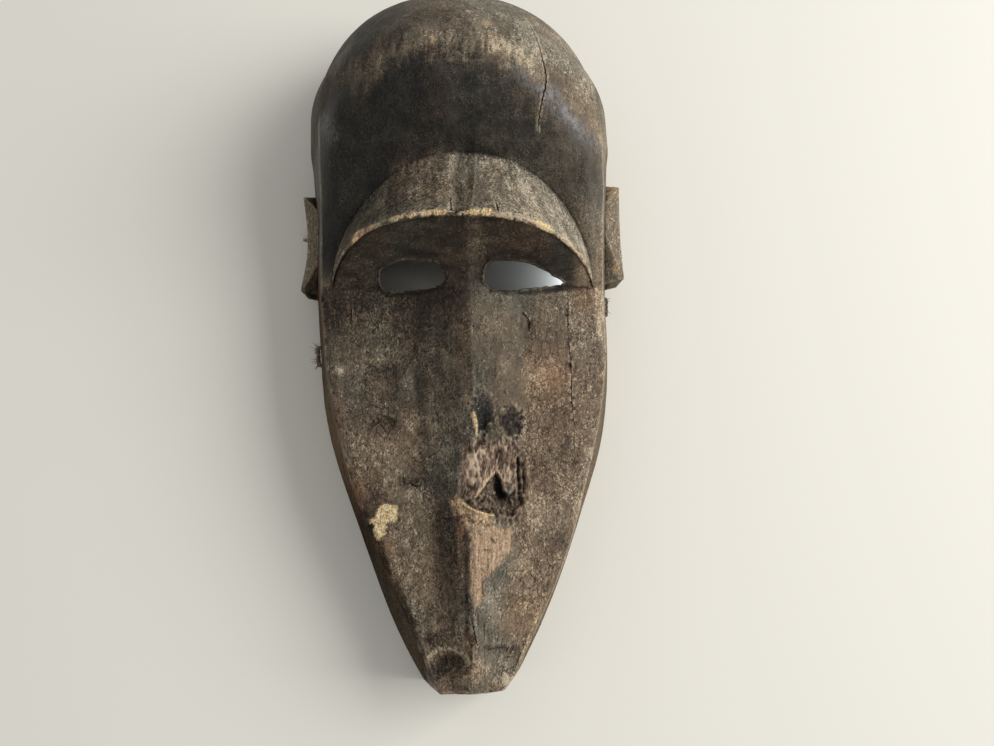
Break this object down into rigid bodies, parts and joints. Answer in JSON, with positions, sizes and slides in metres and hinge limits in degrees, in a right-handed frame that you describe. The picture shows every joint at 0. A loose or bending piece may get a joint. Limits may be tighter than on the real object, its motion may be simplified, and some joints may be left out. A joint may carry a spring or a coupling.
{
  "type": "carved hyena mask",
  "caption": "Hollow carved wooden hyena mask with a domed head, projecting brow, slit eyes, ridged tapering muzzle and lug ears, lying face up on its rim.",
  "frame": {"origin": "on the plane of the back rim, under the middle of the mask's bounding box", "axes": "+Z out of the face, +Y from the muzzle's end towards the top of the head, +X across the face, to the right of a person who looks at the face"},
  "size_m": [0.2109, 0.441, 0.124],
  "materials": {
    "wood": "dark smoked and handled patina, satin, with dust and worn edges",
    "fibre": "dry twisted plant fibre, matt and frayed"
  },
  "bodies": {
    "root": {"mask": "wood", "side_stitch_left": "fibre", "side_stitch_right": "fibre", "ear_tuft_left": "fibre"}
  },
  "joints": []
}
